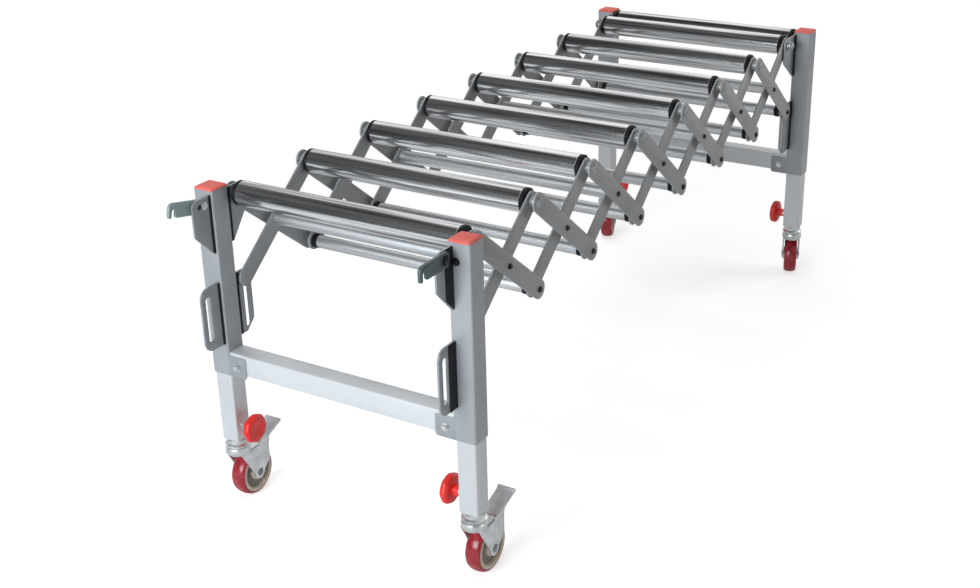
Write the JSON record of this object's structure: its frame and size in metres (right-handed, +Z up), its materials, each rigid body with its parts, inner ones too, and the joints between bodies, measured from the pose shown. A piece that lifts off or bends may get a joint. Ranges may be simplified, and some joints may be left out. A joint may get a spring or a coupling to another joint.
{
  "type": "extending roller stand",
  "caption": "Extending roller stand: free-turning steel rollers on a folding scissor linkage between telescoping legs with clamp knobs, hooks and braked swivel casters.",
  "frame": {"origin": "on the floor under the middle of the stand's bounding box", "axes": "+X along the roller bed from the hook end to the far end, +Z up"},
  "size_m": [1.8582, 0.6388, 0.6755],
  "materials": {
    "chrome_tube": "bright plated",
    "grey_paint": "satin",
    "silver_paint": "satin",
    "dark_paint": "satin",
    "red_plastic": "moulded",
    "red_urethane": "glossy",
    "zinc": "zinc plated"
  },
  "bodies": {
    "near_frame": {"crossbar_near": "silver_paint", "post_near_left": "grey_paint", "sleeve_near_left": "silver_paint", "cap_near_left": "red_plastic", "post_near_right": "grey_paint", "sleeve_near_right": "silver_paint", "cap_near_right": "red_plastic"},
    "far_frame": {"crossbar_far": "silver_paint", "far_axle": "zinc", "post_far_left": "grey_paint", "sleeve_far_left": "silver_paint", "cap_far_left": "red_plastic", "post_far_right": "grey_paint", "sleeve_far_right": "silver_paint", "cap_far_right": "red_plastic"},
    "outer_bars_1": {"outer_bars_1": "grey_paint"},
    "inner_bars_1": {"inner_bars_1": "grey_paint"},
    "outer_bars_2": {"outer_bars_2": "grey_paint"},
    "inner_bars_2": {"inner_bars_2": "grey_paint"},
    "outer_bars_3": {"outer_bars_3": "grey_paint"},
    "inner_bars_3": {"inner_bars_3": "grey_paint"},
    "outer_bars_4": {"outer_bars_4": "grey_paint"},
    "inner_bars_4": {"inner_bars_4": "grey_paint"},
    "outer_bars_5": {"outer_bars_5": "grey_paint"},
    "inner_bars_5": {"inner_bars_5": "grey_paint"},
    "outer_bars_6": {"outer_bars_6": "grey_paint"},
    "inner_bars_6": {"inner_bars_6": "grey_paint"},
    "outer_bars_7": {"outer_bars_7": "grey_paint"},
    "inner_bars_7": {"inner_bars_7": "grey_paint"},
    "roller_1": {"roller_1": "chrome_tube"},
    "roller_2": {"roller_2": "chrome_tube"},
    "roller_3": {"roller_3": "chrome_tube"},
    "roller_4": {"roller_4": "chrome_tube"},
    "roller_5": {"roller_5": "chrome_tube"},
    "roller_6": {"roller_6": "chrome_tube"},
    "roller_7": {"roller_7": "chrome_tube"},
    "roller_8": {"roller_8": "chrome_tube"},
    "roller_9": {"roller_9": "chrome_tube"},
    "leg_near_left": {"leg_near_left": "silver_paint"},
    "knob_near_left": {"knob_near_left": "red_plastic"},
    "caster_near_left": {"caster_fork_near_left": "zinc"},
    "wheel_near_left": {"caster_wheel_near_left": "red_urethane"},
    "brake_near_left": {"brake_pedal_near_left": "zinc"},
    "leg_near_right": {"leg_near_right": "silver_paint"},
    "knob_near_right": {"knob_near_right": "red_plastic"},
    "caster_near_right": {"caster_fork_near_right": "zinc"},
    "wheel_near_right": {"caster_wheel_near_right": "red_urethane"},
    "brake_near_right": {"brake_pedal_near_right": "zinc"},
    "leg_far_left": {"leg_far_left": "silver_paint"},
    "knob_far_left": {"knob_far_left": "red_plastic"},
    "caster_far_left": {"caster_fork_far_left": "zinc"},
    "wheel_far_left": {"caster_wheel_far_left": "red_urethane"},
    "brake_far_left": {"brake_pedal_far_left": "zinc"},
    "leg_far_right": {"leg_far_right": "silver_paint"},
    "knob_far_right": {"knob_far_right": "red_plastic"},
    "caster_far_right": {"caster_fork_far_right": "zinc"},
    "wheel_far_right": {"caster_wheel_far_right": "red_urethane"},
    "brake_far_right": {"brake_pedal_far_right": "zinc"},
    "hook_left": {"hook_left": "dark_paint"},
    "hook_right": {"hook_right": "dark_paint"}
  },
  "joints": [
    {"name": "fold", "type": "hinge", "parent": "near_frame", "child": "outer_bars_1", "pos_m": [-0.75579, -0.01596, 0.6483], "axis": [0, 1, 0], "range_deg": [0, 40]},
    {"name": "cross_1", "type": "hinge", "parent": "outer_bars_1", "child": "inner_bars_1", "pos_m": [-0.64929, -0.01596, 0.5628], "axis": [0, 1, 0], "range_deg": [-81, 1]},
    {"name": "apex_2", "type": "hinge", "parent": "inner_bars_1", "child": "outer_bars_2", "pos_m": [-0.54279, -0.01596, 0.6483], "axis": [0, 1, 0], "range_deg": [-1, 81]},
    {"name": "cross_2", "type": "hinge", "parent": "outer_bars_2", "child": "inner_bars_2", "pos_m": [-0.43629, -0.01596, 0.5628], "axis": [0, 1, 0], "range_deg": [-81, 1]},
    {"name": "apex_3", "type": "hinge", "parent": "inner_bars_2", "child": "outer_bars_3", "pos_m": [-0.32979, -0.01596, 0.6483], "axis": [0, 1, 0], "range_deg": [-1, 81]},
    {"name": "cross_3", "type": "hinge", "parent": "outer_bars_3", "child": "inner_bars_3", "pos_m": [-0.22329, -0.01596, 0.5628], "axis": [0, 1, 0], "range_deg": [-81, 1]},
    {"name": "apex_4", "type": "hinge", "parent": "inner_bars_3", "child": "outer_bars_4", "pos_m": [-0.11679, -0.01596, 0.6483], "axis": [0, 1, 0], "range_deg": [-1, 81]},
    {"name": "cross_4", "type": "hinge", "parent": "outer_bars_4", "child": "inner_bars_4", "pos_m": [-0.01029, -0.01596, 0.5628], "axis": [0, 1, 0], "range_deg": [-81, 1]},
    {"name": "apex_5", "type": "hinge", "parent": "inner_bars_4", "child": "outer_bars_5", "pos_m": [0.09621, -0.01596, 0.6483], "axis": [0, 1, 0], "range_deg": [-1, 81]},
    {"name": "cross_5", "type": "hinge", "parent": "outer_bars_5", "child": "inner_bars_5", "pos_m": [0.20271, -0.01596, 0.5628], "axis": [0, 1, 0], "range_deg": [-81, 1]},
    {"name": "apex_6", "type": "hinge", "parent": "inner_bars_5", "child": "outer_bars_6", "pos_m": [0.30921, -0.01596, 0.6483], "axis": [0, 1, 0], "range_deg": [-1, 81]},
    {"name": "cross_6", "type": "hinge", "parent": "outer_bars_6", "child": "inner_bars_6", "pos_m": [0.41571, -0.01596, 0.5628], "axis": [0, 1, 0], "range_deg": [-81, 1]},
    {"name": "apex_7", "type": "hinge", "parent": "inner_bars_6", "child": "outer_bars_7", "pos_m": [0.52221, -0.01596, 0.6483], "axis": [0, 1, 0], "range_deg": [-1, 81]},
    {"name": "cross_7", "type": "hinge", "parent": "outer_bars_7", "child": "inner_bars_7", "pos_m": [0.62871, -0.01596, 0.5628], "axis": [0, 1, 0], "range_deg": [-81, 1]},
    {"name": "far_end", "type": "hinge", "parent": "inner_bars_7", "child": "far_frame", "pos_m": [0.73521, -0.01596, 0.6483], "axis": [0, 1, 0], "range_deg": [-1, 41]},
    {"name": "roller_spin_1", "type": "hinge", "parent": "outer_bars_1", "child": "roller_1", "pos_m": [-0.75579, -0.01596, 0.6483], "axis": [0, 1, 0], "continuous": true},
    {"name": "roller_spin_2", "type": "hinge", "parent": "inner_bars_1", "child": "roller_2", "pos_m": [-0.54279, -0.01596, 0.6483], "axis": [0, 1, 0], "continuous": true},
    {"name": "roller_spin_3", "type": "hinge", "parent": "inner_bars_2", "child": "roller_3", "pos_m": [-0.32979, -0.01596, 0.6483], "axis": [0, 1, 0], "continuous": true},
    {"name": "roller_spin_4", "type": "hinge", "parent": "inner_bars_3", "child": "roller_4", "pos_m": [-0.11679, -0.01596, 0.6483], "axis": [0, 1, 0], "continuous": true},
    {"name": "roller_spin_5", "type": "hinge", "parent": "inner_bars_4", "child": "roller_5", "pos_m": [0.09621, -0.01596, 0.6483], "axis": [0, 1, 0], "continuous": true},
    {"name": "roller_spin_6", "type": "hinge", "parent": "inner_bars_5", "child": "roller_6", "pos_m": [0.30921, -0.01596, 0.6483], "axis": [0, 1, 0], "continuous": true},
    {"name": "roller_spin_7", "type": "hinge", "parent": "inner_bars_6", "child": "roller_7", "pos_m": [0.52221, -0.01596, 0.6483], "axis": [0, 1, 0], "continuous": true},
    {"name": "roller_spin_8", "type": "hinge", "parent": "inner_bars_7", "child": "roller_8", "pos_m": [0.73521, -0.01596, 0.6483], "axis": [0, 1, 0], "continuous": true},
    {"name": "roller_spin_9", "type": "hinge", "parent": "far_frame", "child": "roller_9", "pos_m": [0.81221, -0.01596, 0.6483], "axis": [0, 1, 0], "continuous": true},
    {"name": "leg_height_near_left", "type": "slide", "parent": "near_frame", "child": "leg_near_left", "axis": [0, 0, -1], "range_m": [0, 0.22]},
    {"name": "knob_turn_near_left", "type": "hinge", "parent": "near_frame", "child": "knob_near_left", "pos_m": [-0.80179, 0.22419, 0.1753], "axis": [0, 1, 0], "continuous": true},
    {"name": "swivel_near_left", "type": "hinge", "parent": "leg_near_left", "child": "caster_near_left", "pos_m": [-0.80179, 0.26204, 0.14], "axis": [0, 0, 1], "continuous": true},
    {"name": "wheel_spin_near_left", "type": "hinge", "parent": "caster_near_left", "child": "wheel_near_left", "pos_m": [-0.76781, 0.26323, 0.05], "axis": [-0.0349, 0.9994, 0], "continuous": true},
    {"name": "brake_near_left", "type": "hinge", "parent": "caster_near_left", "child": "brake_near_left", "pos_m": [-0.74182, 0.26414, 0.102], "axis": [-0.0349, 0.9994, 0], "range_deg": [0, 42]},
    {"name": "leg_height_near_right", "type": "slide", "parent": "near_frame", "child": "leg_near_right", "axis": [0, 0, -1], "range_m": [0, 0.22]},
    {"name": "knob_turn_near_right", "type": "hinge", "parent": "near_frame", "child": "knob_near_right", "pos_m": [-0.80179, -0.25611, 0.1753], "axis": [0, 1, 0], "continuous": true},
    {"name": "swivel_near_right", "type": "hinge", "parent": "leg_near_right", "child": "caster_near_right", "pos_m": [-0.80179, -0.29396, 0.14], "axis": [0, 0, 1], "continuous": true},
    {"name": "wheel_spin_near_right", "type": "hinge", "parent": "caster_near_right", "child": "wheel_near_right", "pos_m": [-0.76779, -0.29396, 0.05], "axis": [0, 1, 0], "continuous": true},
    {"name": "brake_near_right", "type": "hinge", "parent": "caster_near_right", "child": "brake_near_right", "pos_m": [-0.74179, -0.29396, 0.102], "axis": [0, 1, 0], "range_deg": [0, 42]},
    {"name": "leg_height_far_left", "type": "slide", "parent": "far_frame", "child": "leg_far_left", "axis": [0, 0, -1], "range_m": [0, 0.22]},
    {"name": "knob_turn_far_left", "type": "hinge", "parent": "far_frame", "child": "knob_far_left", "pos_m": [0.81221, 0.22419, 0.1753], "axis": [0, 1, 0], "continuous": true},
    {"name": "swivel_far_left", "type": "hinge", "parent": "leg_far_left", "child": "caster_far_left", "pos_m": [0.81221, 0.26204, 0.14], "axis": [0, 0, 1], "continuous": true},
    {"name": "wheel_spin_far_left", "type": "hinge", "parent": "caster_far_left", "child": "wheel_far_left", "pos_m": [0.84416, 0.27367, 0.05], "axis": [-0.342, 0.9397, 0], "continuous": true},
    {"name": "brake_far_left", "type": "hinge", "parent": "caster_far_left", "child": "brake_far_left", "pos_m": [0.86859, 0.28257, 0.102], "axis": [-0.342, 0.9397, 0], "range_deg": [0, 42]},
    {"name": "leg_height_far_right", "type": "slide", "parent": "far_frame", "child": "leg_far_right", "axis": [0, 0, -1], "range_m": [0, 0.22]},
    {"name": "knob_turn_far_right", "type": "hinge", "parent": "far_frame", "child": "knob_far_right", "pos_m": [0.81221, -0.25611, 0.1753], "axis": [0, 1, 0], "continuous": true},
    {"name": "swivel_far_right", "type": "hinge", "parent": "leg_far_right", "child": "caster_far_right", "pos_m": [0.81221, -0.29396, 0.14], "axis": [0, 0, 1], "continuous": true},
    {"name": "wheel_spin_far_right", "type": "hinge", "parent": "caster_far_right", "child": "wheel_far_right", "pos_m": [0.84416, -0.28233, 0.05], "axis": [-0.342, 0.9397, 0], "continuous": true},
    {"name": "brake_far_right", "type": "hinge", "parent": "caster_far_right", "child": "brake_far_right", "pos_m": [0.86859, -0.27343, 0.102], "axis": [-0.342, 0.9397, 0], "range_deg": [0, 42]},
    {"name": "hook_swing_left", "type": "hinge", "parent": "near_frame", "child": "hook_left", "pos_m": [-0.85379, 0.25264, 0.6483], "axis": [0, 1, 0], "range_deg": [-45, 50]},
    {"name": "hook_swing_right", "type": "hinge", "parent": "near_frame", "child": "hook_right", "pos_m": [-0.85379, -0.28456, 0.6483], "axis": [0, 1, 0], "range_deg": [-38, 57]}
  ],
  "couplings": [
    {"joint": "cross_1", "follows": "fold", "ratio": -2},
    {"joint": "apex_2", "follows": "fold", "ratio": 2},
    {"joint": "cross_2", "follows": "fold", "ratio": -2},
    {"joint": "apex_3", "follows": "fold", "ratio": 2},
    {"joint": "cross_3", "follows": "fold", "ratio": -2},
    {"joint": "apex_4", "follows": "fold", "ratio": 2},
    {"joint": "cross_4", "follows": "fold", "ratio": -2},
    {"joint": "apex_5", "follows": "fold", "ratio": 2},
    {"joint": "cross_5", "follows": "fold", "ratio": -2},
    {"joint": "apex_6", "follows": "fold", "ratio": 2},
    {"joint": "cross_6", "follows": "fold", "ratio": -2},
    {"joint": "apex_7", "follows": "fold", "ratio": 2},
    {"joint": "cross_7", "follows": "fold", "ratio": -2},
    {"joint": "far_end", "follows": "fold", "ratio": 1}
  ]
}
